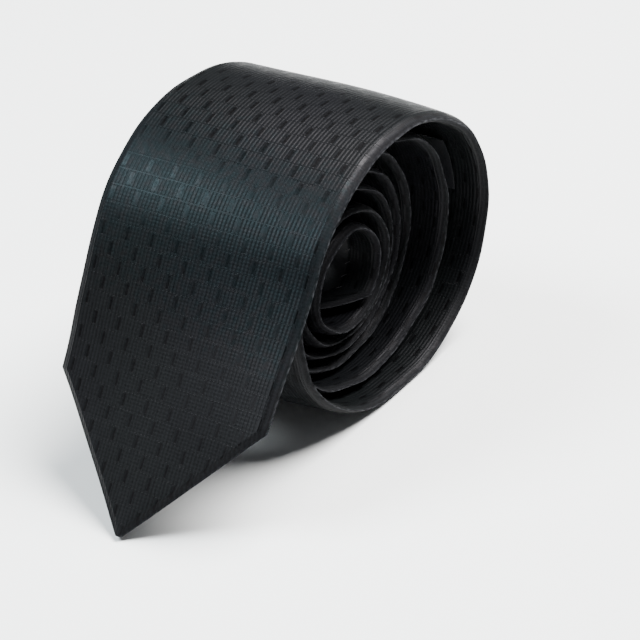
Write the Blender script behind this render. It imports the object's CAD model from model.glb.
import math

import bpy
import numpy as np
from mathutils import Matrix, Vector


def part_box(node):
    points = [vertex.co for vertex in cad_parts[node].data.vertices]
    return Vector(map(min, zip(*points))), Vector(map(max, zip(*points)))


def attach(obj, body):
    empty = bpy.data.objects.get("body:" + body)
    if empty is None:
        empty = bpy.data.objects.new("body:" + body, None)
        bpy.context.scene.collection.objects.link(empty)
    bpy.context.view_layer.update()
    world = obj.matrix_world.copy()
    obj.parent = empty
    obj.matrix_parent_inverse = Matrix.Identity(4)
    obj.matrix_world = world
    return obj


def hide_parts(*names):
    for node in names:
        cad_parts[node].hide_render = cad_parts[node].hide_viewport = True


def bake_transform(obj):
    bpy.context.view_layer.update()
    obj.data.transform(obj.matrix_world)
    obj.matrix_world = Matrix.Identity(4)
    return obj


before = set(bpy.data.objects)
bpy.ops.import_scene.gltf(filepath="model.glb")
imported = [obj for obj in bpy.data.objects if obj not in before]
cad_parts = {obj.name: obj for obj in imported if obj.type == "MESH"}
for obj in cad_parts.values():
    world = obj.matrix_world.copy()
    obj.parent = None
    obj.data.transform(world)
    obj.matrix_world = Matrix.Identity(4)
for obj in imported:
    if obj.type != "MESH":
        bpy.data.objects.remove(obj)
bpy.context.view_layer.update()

MM = 0.001

# ---- the tie, laid flat ----
BLADE_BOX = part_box("blade_shell_hanging")
BLADE_W = (BLADE_BOX[1].x - BLADE_BOX[0].x) / MM
NECK_W = 32.0
TAIL_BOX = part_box("tail_shell")
TAIL_W = (TAIL_BOX[1].x - TAIL_BOX[0].x) / MM
BLADE_POINT = 43.0          # from the front tip to the shoulders
TAIL_POINT = 22.0
NECK_START, NECK_END = 760.0, 1060.0
TAPER_POW = 1.5
HEM_W = 11.0
TACK_AT = 150.0             # bar tacks, from each tip
SEAM_1, SEAM_2 = 610.0, 960.0
KEEPER_AT, KEEPER_L, KEEPER_HALF = 185.0, 12.0, 17.0

# ---- the layers ----
CLOTH_T = 0.4
CORE_T = 1.0
TIPPING_T = 0.22
TIE_T = 2.5
PLY_GAP = 0.14
CORE_IN = 3.2               # the inner layers stop short of the folds
CORE_TOP = CLOTH_T + PLY_GAP
TIPPING_TOP = CORE_TOP + CORE_T + PLY_GAP
BACK_TOP = TIE_T + PLY_GAP / 2
FOLD, CREASE = 2.8, 1.5     # how far a fold rounds in, and how sharply it is pressed
LAP, LAP_LIFT = 3.0, 0.52   # the left flap lies over the right one
LAP_FROM, LAP_RUN = 4.0, 5.0    # where it starts to rise, and over what width

# ---- the roll ----
ROLL_A, ROLL_B = 59.0, 51.5
TURNS = 6.8
SHRINK, LOOSE, EASE_TURNS = 0.1, 0.06, 1.2
LEAVE = 60.0
FLAT_RISE = 0.9
HANG_LEN = 89.0
FLARE = 4.5

# ---- how the real cloth departs from the plain sweep ----
CROWN = 0.8                 # the middle of the outer turn stands out from its folds
INNER_CROWN = 0.6
CROWN_FADE = 105.0          # length over which the crown fades, down the hanging blade
INNER_FROM, INNER_RUN = 290.0, 150.0    # degrees round the roll at which the inner crown takes over
SKEW, SHOULDER_SKEW = 0.085, -0.03      # the roll was wound askew, and the point turns back a little
TALLER, LEFT_TALLER = 0.004, 0.034      # the roll is looser than the plain one, most on its left
UNSKEWED = 55.0             # length of hanging blade over which skew and extra height fade
SETTLE, SETTLE_FROM, SETTLE_RUN = 1.5, 330.0, 260.0     # the inner turns sink, between these degrees
SETTLE_TURN, SETTLED_TURNS = 0.6, 1.64  # and by this much with each turn after these
SETTLE_WAY = np.array([0.8, 1.0])       # how much of that is forward and down
FOOT_AT, FOOT_SPREAD = 240.0, 48.0      # degrees round the roll
# Waves as (height, length / 2 pi, phase), in millimetres along the tie.
EDGE_WAVES = ((1, 9.1, 2.3), (1, 5.3, 5.1), (0.7, 3.1, 1.1), (0.9, 16.7, 3.7))
EDGE_HEIGHT, EDGE_GROWTH, EDGE_GROWS_OVER = 0.10, 0.17, 350.0


def ease(x):
    u = np.clip(x, 0, 1)
    return u * u * (3 - 2 * u)


def bell(x):
    return np.exp(-x * x)


# ---- the curve of the tie's face: q is mm below the leaving line where q < 0, then degrees ----

def spiral(q):
    k = 1 - SHRINK * q / 360 - LOOSE * ease(q / 360 / EASE_TURNS)
    a = np.radians(q - LEAVE)
    return np.stack([ROLL_A * k * np.sin(a), ROLL_B * k * np.cos(a)], -1)


FOOT_Z = spiral(np.array(180 + LEAVE))[1] + FLAT_RISE
FOOT_CORNER = 0.3           # softens the corner where the roll meets the surface
REAR = spiral(np.arange(64.0, 241.0, 8))[:, 0].max()    # on the CAD's own steps of 8 degrees
CENTRE_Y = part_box("blade_shell_rolled")[1].y / MM - REAR
OFF = spiral(np.array(0.0))
FALL = OFF - spiral(np.array(1.0))
FALL = FALL / np.linalg.norm(FALL)
OUT = np.array([FALL[1], -FALL[0]])


def face(q):
    on_roll = spiral(np.maximum(q, 0))
    above = on_roll[..., 1] - FOOT_Z
    on_roll[..., 1] = FOOT_Z + (above + np.sqrt(above ** 2 + FOOT_CORNER)) / 2
    d = np.maximum(-q, 0)[..., None]
    hanging = OFF + FALL * d + OUT * FLARE * (d / HANG_LEN) ** 2
    return np.where(q[..., None] < 0, hanging, on_roll)


NEAR = 0.6                  # the curve's direction is measured over this much on each side


def inward(q):
    """The direction from the face of the tie into it."""
    t = face(q + NEAR) - face(q - NEAR)
    t = t / np.linalg.norm(t, axis=-1, keepdims=True)
    return np.stack([t[..., 1], -t[..., 0]], -1)


def along(q):
    """Distance along the tie from its front tip, as the CAD part reckons it."""
    t = np.maximum(q, 0) / 360
    u = np.minimum(t / EASE_TURNS, 1)
    eased = np.where(t > EASE_TURNS, t - EASE_TURNS / 2, EASE_TURNS * (u ** 3 - u ** 4 / 2))
    roll_r = math.sqrt((ROLL_A ** 2 + ROLL_B ** 2) / 2)
    turned = 2 * math.pi * roll_r * (t - SHRINK * t * t / 2 - LOOSE * eased)
    return HANG_LEN + np.minimum(q, 0) + turned


Q_TABLE = np.linspace(-HANG_LEN, TURNS * 360, 12000)
S_TABLE = along(Q_TABLE)
TIE_LEN = S_TABLE[-1]
FACE_TABLE = face(Q_TABLE)
RUN_TABLE = np.concatenate([[0], np.cumsum(np.linalg.norm(np.diff(FACE_TABLE, axis=0), axis=1))])


def q_at(s):
    return np.interp(s, S_TABLE, Q_TABLE)


def run_at(s):
    """True length of cloth from the front tip, for the weave."""
    return np.interp(q_at(s), Q_TABLE, RUN_TABLE)


def half_w(s):
    s = np.asarray(s, float)
    taper = 1 - np.clip((s - BLADE_POINT) / (NECK_START - BLADE_POINT), 0, 1) ** TAPER_POW
    front = (NECK_W + (BLADE_W - NECK_W) * taper) / 2
    widen = ease((s - NECK_END) / (TIE_LEN - TAIL_POINT - NECK_END))
    back = (NECK_W + (TAIL_W - NECK_W) * widen) / 2
    w = np.where(s < NECK_START, front, back)
    w = np.minimum(w, BLADE_W / 2 * s / BLADE_POINT)
    return np.minimum(w, TAIL_W / 2 * (TIE_LEN - s) / TAIL_POINT)


def closing(s):
    """0 at the points, where the flaps are only hems, to 1 past the tacks, where they meet."""
    return ease(np.minimum(s - BLADE_POINT, TIE_LEN - s - TAIL_POINT) / (TACK_AT - BLADE_POINT))


# ---- the small departures of real cloth ----

def ripple(s, t):
    """How far the cloth stands out, from a few long waves: small in the middle, more at the folds."""
    side = np.where(t > 0, 1.7, 0.4)
    waves = sum(height * np.sin(s / length + side * phase) for height, length, phase in EDGE_WAVES)
    growth = np.clip((s - HANG_LEN) / EDGE_GROWS_OVER, 0, 1)
    edge = (EDGE_HEIGHT + EDGE_GROWTH * growth) * waves * np.abs(t) ** 4
    broad = 0.16 * np.sin(s / 13.0 + 3 * t) + 0.12 * np.sin(s / 21.0 - 2 * t + 1)
    return edge + broad * (1 - t * t)


THIN_TIP = 0.6              # thickness at the very tips, as a share of the usual one
FRONT_THIN, BACK_THIN = 26.0, 20.0      # lengths over which the tips thicken


def plump(s, t):
    """Thickness of the tie as a share of its usual one: thin at the tips, and full round the front
    tack, most of all at the right fold."""
    tips = np.minimum(ease(s / FRONT_THIN), ease((TIE_LEN - s) / BACK_THIN))
    loose_fold = 0.42 * bell((s - TACK_AT) / 60) * ease((t - 0.2) / 0.8)
    return THIN_TIP + (1 - THIN_TIP) * tips + 0.12 * bell((s - TACK_AT) / 200) + loose_fold


CLEAR_OF_FLOOR = 0.02


def tie_point(s, x, depth):
    """Places, in mm, from the distance along the tie, the place across it and the depth in it."""
    s, x, depth = np.broadcast_arrays(np.asarray(s, float), x, depth)
    q = q_at(s)
    t = np.clip(x / np.maximum(half_w(s), 0.5), -1, 1)
    off_foot = 1 - bell((q - FOOT_AT) / FOOT_SPREAD)
    inner = ease((q - INNER_FROM) / INNER_RUN)
    crown = CROWN * ease((q + CROWN_FADE) / CROWN_FADE) * (1 - inner)
    crown = (crown + INNER_CROWN * inner) * off_foot
    stand_out = crown * (1 - t * t) + ripple(s, t) * off_foot
    p = face(q) + inward(q) * (depth * plump(s, t) - stand_out)[..., None]
    further = SETTLE_TURN * np.maximum(q / 360 - SETTLED_TURNS, 0)
    settle = SETTLE * ease((q - SETTLE_FROM) / SETTLE_RUN) + further
    p = p - settle[..., None] * SETTLE_WAY
    rolled = ease(1 + q / UNSKEWED)
    y = CENTRE_Y + p[..., 0] + x * (SHOULDER_SKEW + (SKEW - SHOULDER_SKEW) * rolled)
    taller = TALLER - LEFT_TALLER * x / (BLADE_W / 2)
    z = (p[..., 1] - FOOT_Z) * (1 + taller * rolled)
    return np.stack([x, y, np.maximum(z, CLEAR_OF_FLOOR)], -1)


# ---- mesh makers ----

SHARP = math.radians(55)    # edges bent by more than this are shaded sharp


def add_object(name, mesh, material):
    mesh.materials.append(material)
    mesh.shade_smooth()
    mesh.set_sharp_from_angle(angle=SHARP)
    piece = bpy.data.objects.new(name, mesh)
    bpy.context.scene.collection.objects.link(piece)
    return piece


def ring_faces(rings, size, first=0):
    """Quads that join rings of points, and the two end caps of a closed band."""
    r = first + np.arange(rings - 1)[:, None] * size
    i = np.arange(size)
    j = (i + 1) % size
    sides = np.stack([r + i, r + j, r + size + j, r + size + i], -1).reshape(-1, 4)
    a = np.arange(size // 2 - 1)
    cap = np.stack([a, size - 1 - a, size - 2 - a, a + 1], -1) + first
    end = cap[:, ::-1] + (rings - 1) * size
    return np.concatenate([sides, cap, end])


def build_mesh(name, points, faces, weave):
    mesh = bpy.data.meshes.new(name)
    mesh.from_pydata((points * MM).tolist(), [], faces.tolist())
    attribute = mesh.attributes.new("weave", "FLOAT_VECTOR", "POINT")
    attribute.data.foreach_set("vector", np.ascontiguousarray(weave, np.float32).ravel())
    mesh.validate()
    mesh.update()
    if mesh_volume(mesh) < 0:
        mesh.flip_normals()
    return mesh


def mesh_volume(mesh):
    mesh.calc_loop_triangles()
    co = np.empty(len(mesh.vertices) * 3)
    mesh.vertices.foreach_get("co", co)
    co = co.reshape(-1, 3)
    tri = np.empty(len(mesh.loop_triangles) * 3, int)
    mesh.loop_triangles.foreach_get("vertices", tri)
    a, b, c = co[tri.reshape(-1, 3)].transpose(1, 0, 2)
    return float(np.einsum("ij,ij->i", a, np.cross(b, c)).sum())


def solid(name, rings, weave, material):
    """One closed piece, from rings of points whose first half is its outside."""
    faces = ring_faces(rings.shape[0], rings.shape[1])
    mesh = build_mesh(name, rings.reshape(-1, 3), faces, weave.reshape(-1, 3))
    return add_object(name, mesh, material)


ASKEW = np.array([0.31, 0.87, 0.38])    # a direction along which no thread runs
THREAD_END = 0.45           # radius at a thread's ends, as a share of its own


def tubes(name, paths, radius, material, sides=6):
    """Threads: one closed round tube with tapered ends along each path of points."""
    turn = np.arange(sides) * 2 * math.pi / sides
    points, faces, weave = [], [], []
    start = 0
    for path in paths:
        tangent = np.gradient(path, axis=0)
        tangent /= np.linalg.norm(tangent, axis=1, keepdims=True)
        n1 = np.cross(tangent, ASKEW)
        n1 /= np.linalg.norm(n1, axis=1, keepdims=True)
        n2 = np.cross(tangent, n1)
        m = len(path)
        size = np.full(m, radius)
        size[[0, -1]] *= THREAD_END
        around = np.cos(turn)[None, :, None] * n1[:, None] + np.sin(turn)[None, :, None] * n2[:, None]
        points.append((path[:, None] + around * size[:, None, None]).reshape(-1, 3))
        faces.append(ring_faces(m, sides, start))
        run = np.concatenate([[0], np.cumsum(np.linalg.norm(np.diff(path, axis=0), axis=1))])
        grid = np.stack(np.broadcast_arrays(turn[None, :] * radius, run[:, None], 0.0), -1)
        weave.append(grid.reshape(-1, 3))
        start += m * sides
    mesh = build_mesh(name, np.concatenate(points), np.concatenate(faces), np.concatenate(weave))
    return add_object(name, mesh, material)


# ---- material formulas ----

class Wire:
    """A shader value that can stand in a sum, so that a pattern reads as a formula."""

    def __init__(self, tree, socket):
        self.tree = tree
        self.socket = socket

    def math(self, operation, *others):
        node = self.tree.nodes.new("ShaderNodeMath")
        node.operation = operation
        for place, value in enumerate((self,) + others):
            if isinstance(value, Wire):
                self.tree.links.new(value.socket, node.inputs[place])
            else:
                node.inputs[place].default_value = value
        return Wire(self.tree, node.outputs[0])

    def __add__(self, other):
        return self.math("ADD", other)

    def __sub__(self, other):
        return self.math("SUBTRACT", other)

    def __mul__(self, other):
        return self.math("MULTIPLY", other)

    def __truediv__(self, other):
        return self.math("DIVIDE", other)

    def __lt__(self, other):
        return self.math("LESS_THAN", other)

    def __gt__(self, other):
        return self.math("GREATER_THAN", other)

    def wave(self, pitch):
        """A sine wave from 0 to 1."""
        return (self * (2 * math.pi / pitch)).math("SINE") * 0.5 + 0.5


class Finish:
    """One Principled material, driven by the pieces' own weave coordinates."""

    def __init__(self, name, specular, sheen=0.0):
        self.material = bpy.data.materials.new(name)
        self.material.use_nodes = True
        self.tree = self.material.node_tree
        self.shader = self.tree.nodes["Principled BSDF"]
        self.shader.inputs["Sheen Weight"].default_value = sheen
        self.shader.inputs["Sheen Roughness"].default_value = 0.4
        self.shader.inputs["Specular IOR Level"].default_value = specular
        weave = self.tree.nodes.new("ShaderNodeAttribute")
        weave.attribute_name = "weave"
        self.weave = weave.outputs["Vector"]
        parts = self.tree.nodes.new("ShaderNodeSeparateXYZ")
        self.tree.links.new(self.weave, parts.inputs[0])
        self.u, self.v, self.edge = (Wire(self.tree, out) for out in parts.outputs)

    def noise(self, across, down, detail=2.0):
        """Noise stretched to this many millimetres across and along the cloth."""
        scale = self.tree.nodes.new("ShaderNodeMapping")
        scale.inputs["Scale"].default_value = (1 / across, 1 / down, 1)
        self.tree.links.new(self.weave, scale.inputs["Vector"])
        node = self.tree.nodes.new("ShaderNodeTexNoise")
        node.inputs["Scale"].default_value = 1
        node.inputs["Detail"].default_value = detail
        self.tree.links.new(scale.outputs[0], node.inputs["Vector"])
        return Wire(self.tree, node.outputs[0])

    def blend(self, amount, low, high):
        """A colour between two, each a triple or the output of another blend."""
        node = self.tree.nodes.new("ShaderNodeMix")
        node.data_type = "RGBA"
        node.clamp_factor = True
        self.tree.links.new(amount.socket, node.inputs[0])
        for place, colour in ((6, low), (7, high)):
            if isinstance(colour, tuple):
                node.inputs[place].default_value = (*colour, 1)
            else:
                self.tree.links.new(colour, node.inputs[place])
        return node.outputs[2]

    def set(self, colour, roughness, height, relief):
        """Links colour, roughness and relief, whose full height is given in millimetres."""
        self.tree.links.new(colour, self.shader.inputs["Base Color"])
        self.tree.links.new(roughness.socket, self.shader.inputs["Roughness"])
        bump = self.tree.nodes.new("ShaderNodeBump")
        bump.inputs["Distance"].default_value = relief * MM
        self.tree.links.new(height.socket, bump.inputs["Height"])
        self.tree.links.new(bump.outputs[0], self.shader.inputs["Normal"])
        return self.material


RIB = 1.23                  # pitch of the ribs, which run along the tie
PICK = 1.10                 # pitch of the fine cross yarns
COURSE = 5.3                # height of one course of bars
BRICK = RIB * 7             # from one bar to the next
BAR = 1.25 / 7              # share of that which is the bar
TEAL_AT, TEAL_SPREAD = 98.0, 34.0    # the dye leans to teal on this stretch of the blade


def jacquard():
    f = Finish("jacquard", specular=0.10)
    uneven = f.noise(0.9, 14.0)
    rib = (f.u + (uneven - 0.5) * 0.25).wave(RIB)
    pick = f.v.wave(PICK)
    row = f.v / COURSE
    odd = row.math("FLOOR").math("MODULO", 2.0)
    in_brick = (f.u / BRICK + odd * 0.5).math("FRACT")
    in_row = (row.math("FRACT") - 0.5).math("ABSOLUTE")
    bar = (in_brick < BAR) * (in_row < 0.38)
    lit_side = (in_brick < BAR * 0.5) * bar
    line = in_row > 0.47
    plain = (bar * -1 + 1) * (line * -1 + 1)
    grain = f.noise(0.5, 0.9, 1.0)
    yarn = rib * 0.66 + pick * 0.14 + grain * 0.5
    height = plain * yarn + line * 0.45 + bar * 0.1 + lit_side * 0.7
    hue = f.noise(70.0, 90.0, 1.0)
    teal_navy = f.blend((hue - 0.4) * 5.0, (0.0036, 0.0046, 0.0048), (0.0038, 0.0041, 0.0052))
    threads = f.blend(yarn * 0.8 + (uneven - 0.5) * 0.7, (0.0006, 0.0007, 0.0008), teal_navy)
    barred = f.blend(bar - lit_side * 0.9, threads, (0.0004, 0.0004, 0.0005))
    crease = f.edge.math("POWER", 20.0)
    worn = crease * (f.noise(0.5, 2.2) - 0.42) * 4.0
    colour = f.blend(worn, barred, (0.038, 0.039, 0.043))
    roughness = plain * 0.08 + 0.38 + f.edge * 0.4 + (grain - 0.5) * 0.3
    dyed = ((f.v + f.u * 0.24 - TEAL_AT) / TEAL_SPREAD).math("POWER", 2.0) * -1 + 1
    shot = f.noise(2.2, 2.6, 1.0)
    lustre = f.blend(dyed * 0.85 + (shot - 0.5) * 2.0, (0.97, 0.93, 1.0), (0.60, 0.90, 1.0))
    f.tree.links.new(lustre, f.shader.inputs["Specular Tint"])
    return f.set(colour, roughness, height, 0.095)


def satin(name, low, high, specular, pitch, relief):
    """A plain fine-ribbed lining or label."""
    f = Finish(name, sheen=0.03, specular=specular)
    slub = f.noise(3.0, 0.4)
    yarn = (f.u + f.v).wave(pitch) * 0.5 + f.u.wave(pitch * 0.8) * 0.5
    colour = f.blend(yarn * 0.6 + (slub - 0.4) * 0.8, low, high)
    return f.set(colour, slub * 0.2 + 0.3, yarn + slub * 0.4, relief)


def wool():
    f = Finish("interlining", sheen=0.35, specular=0.2)
    fuzz = f.noise(0.5, 0.7, 5.0)
    patches = f.noise(7.0, 11.0)
    basket = f.u.wave(1.1) * f.v.wave(1.1)
    colour = f.blend(fuzz * 0.6 + patches * 0.5, (0.36, 0.34, 0.29), (0.62, 0.60, 0.54))
    return f.set(colour, fuzz * 0.15 + 0.8, basket * 0.6 + fuzz, 0.2)


def sewing_thread():
    f = Finish("thread", sheen=0.15, specular=0.4)
    twist = (f.v + f.u * 1.5).wave(0.45)
    lint = f.noise(0.3, 1.5)
    colour = f.blend(twist * 0.7 + lint * 0.3, (0.004, 0.004, 0.005), (0.030, 0.031, 0.034))
    return f.set(colour, lint * 0.2 + 0.4, twist, 0.08)


JACQUARD = jacquard()
TIPPING = satin("tipping", (0.003, 0.003, 0.004), (0.010, 0.010, 0.012), 0.22, 0.35, 0.03)
INTERLINING = wool()
THREAD = sewing_thread()
MAKER = satin("maker_label", (0.003, 0.003, 0.004), (0.010, 0.011, 0.013), 0.3, 0.5, 0.04)
CARE = satin("care_label", (0.50, 0.50, 0.48), (0.70, 0.70, 0.68), 0.4, 0.5, 0.04)


# ---- the folded cloth ----

FRONT_N, FOLD_N, FLAP_N = 17, 9, 13


def half_section(s, lap, shrink_in):
    """The right half of a folded section, as arrays of rings by points: place across, depth, and
    distance across the unfolded cloth. shrink_in steps in from the outside to the inside."""
    w = half_w(s)[:, None]
    gap = PLY_GAP * 2
    hem = np.minimum(HEM_W, w - gap)
    flap = hem + (w - gap - hem) * closing(s)[:, None] + lap
    fold = np.minimum(FOLD, w * 0.6)
    skin = shrink_in * np.minimum(1, fold / (CLOTH_T * 3))
    front = np.sin(np.linspace(0, math.pi / 2, FRONT_N))[None, :]
    angle = np.linspace(0, math.pi, FOLD_N + 2)[1:-1][None, :]
    back = np.linspace(0, 1, FLAP_N)[None, :]
    bend = math.pi * np.sqrt((fold ** 2 + (TIE_T / 2) ** 2) / 2)
    reach = 1 - np.abs(np.cos(angle)) ** CREASE
    x = np.concatenate([front * (w - fold), w - fold + (fold - skin) * reach,
                        w - fold - back * (flap - fold)], 1)
    depth = np.concatenate([front * 0 + skin, TIE_T / 2 - (TIE_T / 2 - skin) * np.cos(angle),
                            back * 0 + TIE_T - skin], 1)
    across = np.concatenate([front * (w - fold), w - fold + bend * angle / math.pi,
                             w - fold + bend + back * (flap - fold)], 1)
    return x, depth, across


def whole_section(s, inside):
    """A full section, from the left flap's free edge round the front to the right flap's."""
    step_in = CLOTH_T if inside else 0.0
    lap = (LAP * closing(s))[:, None]
    right = half_section(s, 0 * lap, step_in)
    left = half_section(s, lap, step_in)
    lift = LAP_LIFT * ease((LAP_FROM - left[0]) / LAP_RUN) * closing(s)[:, None]
    lift[:, :FRONT_N + FOLD_N] = 0
    x = np.concatenate([-left[0][:, ::-1], right[0][:, 1:]], 1)
    depth = np.concatenate([(left[1] + lift)[:, ::-1], right[1][:, 1:]], 1)
    across = np.concatenate([-left[2][:, ::-1], right[2][:, 1:]], 1)
    return x, depth, across


BIAS_RUN = 110.0            # length over which the rings turn to the slant of a seam
SEAM_DIP, SEAM_HALF = 0.22, 0.9     # a seam is a shallow groove: its depth, and its reach each way
FAR = 99.0                  # stands for an end that has no seam
CREASE_MARK = 1.6           # how far from a fold its wear is marked


def folded_cloth(name, s, material, bias_start, bias_end):
    """Cloth folded into a tie, from one distance along it to another. A biased end is cut at 45
    degrees, as a tie's cloths are joined."""
    lean = ease(1 - (s - s[0]) / BIAS_RUN) * bias_start + ease(1 - (s[-1] - s) / BIAS_RUN) * bias_end
    rings, weave = [], []
    for inside in (False, True):
        x, depth, across = whole_section(s, inside)
        if not inside:
            to_seam = np.minimum(np.where(bias_start, s - s[0], FAR), np.where(bias_end, s[-1] - s, FAR))
            dip = SEAM_DIP * bell(to_seam / SEAM_HALF)[:, None]
            depth = depth + dip * np.where(depth < TIE_T / 2, 1, -1)
        at = s[:, None] + lean[:, None] * across
        points = tie_point(at, x, depth)
        on_fold = bell((np.abs(x) - half_w(s)[:, None]) / CREASE_MARK)
        coords = np.stack([across, run_at(at), on_fold], -1)
        rings.append(points if not inside else points[:, ::-1])
        weave.append(coords if not inside else coords[:, ::-1])
    return solid(name, np.concatenate(rings, 1), np.concatenate(weave, 1), material)


def spaced(start, end, pitch):
    return np.linspace(start, end, max(2, round((end - start) / pitch) + 1))


TAIL_SHOULDER = TIE_LEN - TAIL_POINT
TIP_CUT = 1.1               # a point ends this far short, slightly blunt
SEAM_GAP = 0.1              # half the gap between two cloths at their seam
RING = 2.0                  # usual distance between rings
blade_cloth = folded_cloth(
    "blade_cloth",
    np.concatenate([spaced(TIP_CUT, BLADE_POINT, 1.5)[:-1],
                    spaced(BLADE_POINT, SEAM_1 - SEAM_GAP, RING)]),
    JACQUARD, 0, 1)
neck_cloth = folded_cloth("neck_cloth", spaced(SEAM_1 + SEAM_GAP, SEAM_2 - SEAM_GAP, RING), JACQUARD, 1, 1)
tail_cloth = folded_cloth(
    "tail_cloth",
    np.concatenate([spaced(SEAM_2 + SEAM_GAP, TAIL_SHOULDER, RING)[:-1],
                    spaced(TAIL_SHOULDER, TIE_LEN - TIP_CUT, 1.2)]),
    JACQUARD, 1, 0)


# ---- flat layers ----

EDGE_THIN = 0.1             # thickness of a layer at its very edge, as a share of its own


def layer(name, s, inset, top, thick, material, columns=14, half=None):
    """A flat layer in the tie, with rounded edges. It is inset from the folds, or half its width is
    given."""
    w = (half_w(s) - inset)[:, None] if half is None else np.full((len(s), 1), half)
    t = np.sin(np.linspace(-math.pi / 2, math.pi / 2, columns))[None, :]
    round_off = np.sqrt(np.clip(1 - np.abs(t) ** 8, 0, 1)) * (1 - EDGE_THIN) + EDGE_THIN
    x = w * t
    mid = top + thick / 2
    outer = mid - thick / 2 * round_off + 0 * x
    inner = mid + thick / 2 * round_off + 0 * x
    at = s[:, None] + 0 * x
    rings = np.concatenate([tie_point(at, x, outer), tie_point(at, x, inner)[:, ::-1]], 1)
    coords = np.stack([x, run_at(at), 0 * x], -1)
    weave = np.concatenate([coords, coords[:, ::-1]], 1)
    return solid(name, rings, weave, material)


CORE_JOIN = SEAM_1 + 90     # the two interlinings meet past the first seam
INNER_TIP = 4.7             # the inner layers stop this far short of the tips
TIPPING_L = TACK_AT + 20
blade_interlining = layer("blade_interlining_strip", spaced(INNER_TIP, CORE_JOIN - PLY_GAP, 2.5),
                          CORE_IN, CORE_TOP, CORE_T, INTERLINING)
tail_interlining = layer("tail_interlining_strip", spaced(CORE_JOIN + PLY_GAP, TIE_LEN - INNER_TIP, 2.5),
                         CORE_IN, CORE_TOP, CORE_T, INTERLINING)
blade_tipping = layer("blade_tipping_lining", spaced(INNER_TIP, TIPPING_L, RING),
                      CORE_IN, TIPPING_TOP, TIPPING_T, TIPPING, 24)
tail_tipping = layer("tail_tipping_lining", spaced(TIE_LEN - TIPPING_L, TIE_LEN - INNER_TIP, RING),
                     CORE_IN, TIPPING_TOP, TIPPING_T, TIPPING, 18)

LABEL_TOP = BACK_TOP + LAP_LIFT + 0.12
LABEL_T = 0.3
LABEL_GAP = 6.0
MAKER_AT, MAKER_L, MAKER_HALF = KEEPER_AT + KEEPER_L + LABEL_GAP, 26.0, 24.0
CARE_AT, CARE_L, CARE_HALF = MAKER_AT + MAKER_L + LABEL_GAP, 22.0, 9.0
maker_label = layer("maker_label", spaced(MAKER_AT, MAKER_AT + MAKER_L, 1.3),
                    0, LABEL_TOP, LABEL_T, MAKER, 30, MAKER_HALF)
care_label = layer("care_label", spaced(CARE_AT, CARE_AT + CARE_L, 1.3),
                   0, LABEL_TOP, LABEL_T, CARE, 16, CARE_HALF)


# ---- the keeper loop: a strap that stands off the back ----

KEEPER_RISE, KEEPER_T = 1.5, 0.5


def strap():
    s = spaced(KEEPER_AT, KEEPER_AT + KEEPER_L, 1.0)[:, None]
    t = np.linspace(-1, 1, 33)[None, :]
    x = KEEPER_HALF * t
    arch = ease((1 - np.abs(t)) * 5)
    low = BACK_TOP + LAP_LIFT * 0.3 + KEEPER_RISE * arch
    edge = np.clip(np.minimum(s - KEEPER_AT, KEEPER_AT + KEEPER_L - s) / 1.2, 0, 1)
    swell = KEEPER_T * (0.55 + 0.45 * np.sqrt(1 - (1 - edge) ** 2))
    at = s + 0 * x
    rings = np.concatenate([tie_point(at, x, low + swell), tie_point(at, x, low + 0 * at)[:, ::-1]], 1)
    coords = np.stack([at - KEEPER_AT + 0 * x, x + 0 * at + 40, 0 * at], -1)
    return solid("keeper_strap", rings, np.concatenate([coords, coords[:, ::-1]], 1), JACQUARD)


keeper_loop = strap()


# ---- threads ----

def thread_path(points):
    """A path from (distance along, place across, depth) triples."""
    s, x, depth = np.array(points, float).T
    return tie_point(s, x, depth)


def stitch(s0, x0, s1, x1, depth, rise):
    """One stitch: down into the cloth at both ends, over it between."""
    t = np.linspace(0, 1, 6)
    lift = depth - 0.15 + rise * np.sin(math.pi * t)
    return thread_path(np.stack([s0 + (s1 - s0) * t, x0 + (x1 - x0) * t, lift], -1))


HEM_PITCH = 5.0
HEM_STITCH_L = 1.6


def hem_stitches(side, start, end, to_tip):
    """Slanting hand stitches that hold a tipping to the hem."""
    paths = []
    for s in np.arange(start, end, HEM_PITCH):
        tie_s = TIE_LEN - s if to_tip else s
        w = float(half_w(tie_s))
        flap = HEM_W + (w - PLY_GAP * 2 - HEM_W) * float(closing(tie_s))
        x = w - flap
        if x > 1:
            paths.append(stitch(tie_s, side * (x + 1.0), tie_s + HEM_STITCH_L, side * (x - 0.8),
                                TIE_T, 0.22))
    return paths


def bar_tack(s, half):
    """Seven long stitches across the meeting flaps, and a dense row of short ones over them."""
    depth, rise = BACK_TOP + LAP_LIFT * 0.8, 0.3
    paths = [stitch(s + 0.25 * i, -half, s + 0.25 * i, half, depth, rise) for i in range(-3, 4)]
    paths += [stitch(s - 1.1, x, s + 1.1, x, depth + 0.28, rise) for x in np.arange(-half + 0.6, half, 0.7)]
    return paths


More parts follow.
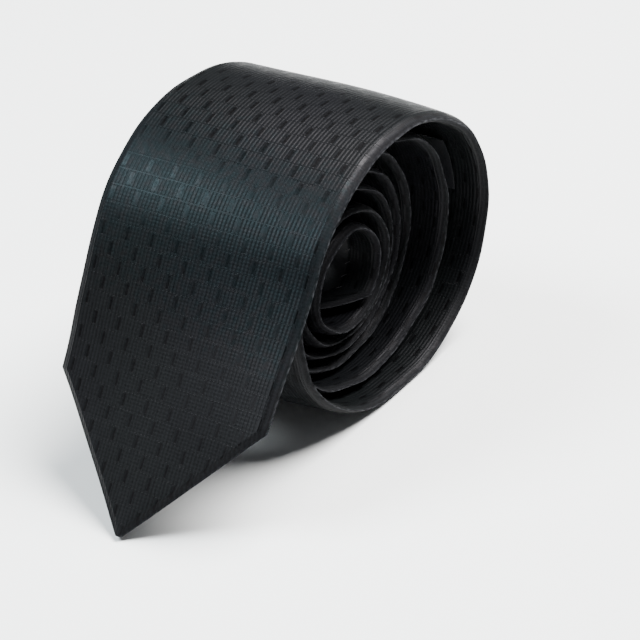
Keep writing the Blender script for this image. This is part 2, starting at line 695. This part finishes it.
THREAD_R = 0.16
both = (-1, 1)
blade_hem_stitches = tubes(
    "blade_hem_stitching",
    [p for side in both for p in hem_stitches(side, HEM_W * 2, 118, False)], THREAD_R, THREAD)
front_bar_tack = tubes("front_bar_tack_threads", bar_tack(TACK_AT + 1, 4.6), THREAD_R, THREAD)
rear_bar_tack = tubes("rear_bar_tack_threads", bar_tack(TIE_LEN - TACK_AT - 1, 3.6), THREAD_R, THREAD)
tail_hem_stitches = tubes(
    "tail_hem_stitching",
    [p for side in both for p in hem_stitches(side, HEM_W * 2, 80, True)], THREAD_R, THREAD)
slip_stitch = tubes(
    "slip_stitching",
    [stitch(s, LAP - 0.9, s + 2.2, LAP + 0.8, BACK_TOP + LAP_LIFT * 0.6, 0.25)
     for s in np.arange(TACK_AT + 4, TIE_LEN - TACK_AT - 6, 6.0)], THREAD_R, THREAD)
keeper_tacks = tubes(
    "keeper_tack_threads",
    [stitch(s, side * (KEEPER_HALF - 1.4), s + 0.3, side * (KEEPER_HALF + 1.3), BACK_TOP + 0.5, 0.35)
     for side in both for s in np.arange(KEEPER_AT + 1.2, KEEPER_AT + KEEPER_L - 1, 0.75)],
    THREAD_R, THREAD)


def seam_stitches(name, s):
    """The machine stitches of a slanted seam, inside the back of the tie."""
    w = float(half_w(s)) - CORE_IN - 1
    length, pitch = 1.5, 2.1
    paths = [stitch(s + x, x, s + x + length, x + length, TIE_T - CLOTH_T - 0.35, -0.1)
             for x in np.arange(-w, w - length, pitch)]
    return tubes(name, paths, THREAD_R * 0.8, THREAD)


front_seam_thread = seam_stitches("front_seam_stitching", SEAM_1)
rear_seam_thread = seam_stitches("rear_seam_stitching", SEAM_2)

# ---- what each piece rides on, stands for and is ----

PIECES = [
    (blade_cloth, "jacquard", ("blade_shell_hanging", "blade_shell_rolled"), True),
    (blade_interlining, "interlining", ("blade_interlining_hanging", "blade_interlining_rolled"), True),
    (blade_tipping, "tipping", ("blade_tipping", "blade_tipping_upper"), True),
    (blade_hem_stitches, "thread", ("blade_hem_stitches",), True),
    (neck_cloth, "jacquard", ("neck_shell",), False),
    (tail_cloth, "jacquard", ("tail_shell",), False),
    (tail_interlining, "interlining", ("tail_interlining",), False),
    (tail_tipping, "tipping", ("tail_tipping",), False),
    (tail_hem_stitches, "thread", (), False),
    (front_bar_tack, "thread", ("front_bar_tack",), False),
    (rear_bar_tack, "thread", ("rear_bar_tack",), False),
    (slip_stitch, "thread", ("slip_stitch",), False),
    (keeper_loop, "jacquard", ("keeper_loop",), False),
    (keeper_tacks, "thread", ("keeper_tacks",), False),
    (maker_label, "maker_label", ("maker_label_blank",), False),
    (care_label, "care_label", ("care_label_blank",), False),
    (front_seam_thread, "thread", ("front_seam_thread",), False),
    (rear_seam_thread, "thread", ("rear_seam_thread",), False),
]
for piece, slot, nodes, bends in PIECES:
    if bends:
        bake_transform(piece)
    else:
        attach(piece, "roll")
    if nodes:
        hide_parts(*nodes)


# ---- the sheets, and the size each was cut to ----

def declare_folded(start, end):
    s = np.linspace(start, end, 200)
    across = whole_section(s, False)[2]


def declare_flat(start, end):
    s = np.linspace(start, end, 100)
    widths = 2 * (half_w(s) - CORE_IN)


declare_folded(TIP_CUT, SEAM_1)
declare_folded(SEAM_1, SEAM_2)
declare_folded(SEAM_2, TIE_LEN - TIP_CUT)
declare_flat(INNER_TIP, CORE_JOIN)
declare_flat(CORE_JOIN, TIE_LEN - INNER_TIP)
declare_flat(INNER_TIP, TIPPING_L)
declare_flat(TIE_LEN - TIPPING_L, TIE_LEN - INNER_TIP)


# ---- floor, light and camera ----

def floor():
    mesh = bpy.data.meshes.new("floor")
    r = 4.0                 # half its side, in metres
    mesh.from_pydata([(-r, -r, 0), (r, -r, 0), (r, r, 0), (-r, r, 0)], [], [(0, 1, 2, 3)])
    material = bpy.data.materials.new("floor")
    material.use_nodes = True
    shader = material.node_tree.nodes["Principled BSDF"]
    shader.inputs["Base Color"].default_value = (0.86, 0.87, 0.87, 1)
    shader.inputs["Roughness"].default_value = 0.7
    mesh.materials.append(material)
    stage = bpy.data.objects.new("floor", mesh)
    bpy.context.scene.collection.objects.link(stage)


def aim(obj, place, target):
    obj.location = place
    obj.rotation_euler = (Vector(target) - Vector(place)).to_track_quat("-Z", "Y").to_euler()


def soft_light(name, place, target, size, power, colour):
    light = bpy.data.lights.new(name, "AREA")
    light.shape = "DISK"
    light.size = size
    light.energy = power
    light.color = colour
    obj = bpy.data.objects.new(name, light)
    bpy.context.scene.collection.objects.link(obj)
    aim(obj, place, target)


floor()
ROLL_MIDDLE = Vector((0, CENTRE_Y, -FOOT_Z)) * MM
soft_light("overhead", (0.50, 0.70, 1.65), ROLL_MIDDLE, 1.2, 182, (1, 0.995, 0.98))
soft_light("window", (-0.62, -0.46, 1.00), ROLL_MIDDLE, 0.62, 27, (0.90, 0.97, 1.0))
world = bpy.data.worlds.new("studio")
world.use_nodes = True
world.node_tree.nodes["Background"].inputs["Color"].default_value = (0.93, 0.96, 1.0, 1)
world.node_tree.nodes["Background"].inputs["Strength"].default_value = 0.16
bpy.context.scene.world = world


def camera():
    """The photograph's viewing angle: azimuth, elevation and a small roll, in degrees."""
    azimuth, elevation, roll = (math.radians(a) for a in (34.88, 31.15, 4.18))
    target = ROLL_MIDDLE + Vector((0, 6.8, -30.4)) * MM
    distance = 775 * MM
    back = Vector((math.sin(azimuth) * math.cos(elevation),
                   -math.cos(azimuth) * math.cos(elevation), math.sin(elevation)))
    right = Vector((math.cos(azimuth), math.sin(azimuth), 0))
    up = back.cross(right)
    right, up = (math.cos(roll) * right - math.sin(roll) * up,
                 math.sin(roll) * right + math.cos(roll) * up)
    data = bpy.data.cameras.new("camera")
    data.lens = 135
    data.sensor_width = 36
    obj = bpy.data.objects.new("camera", data)
    turn = Matrix((right, up, back)).transposed().to_4x4()
    obj.matrix_world = Matrix.Translation(target + back * distance) @ turn
    bpy.context.scene.collection.objects.link(obj)
    bpy.context.scene.camera = obj


camera()
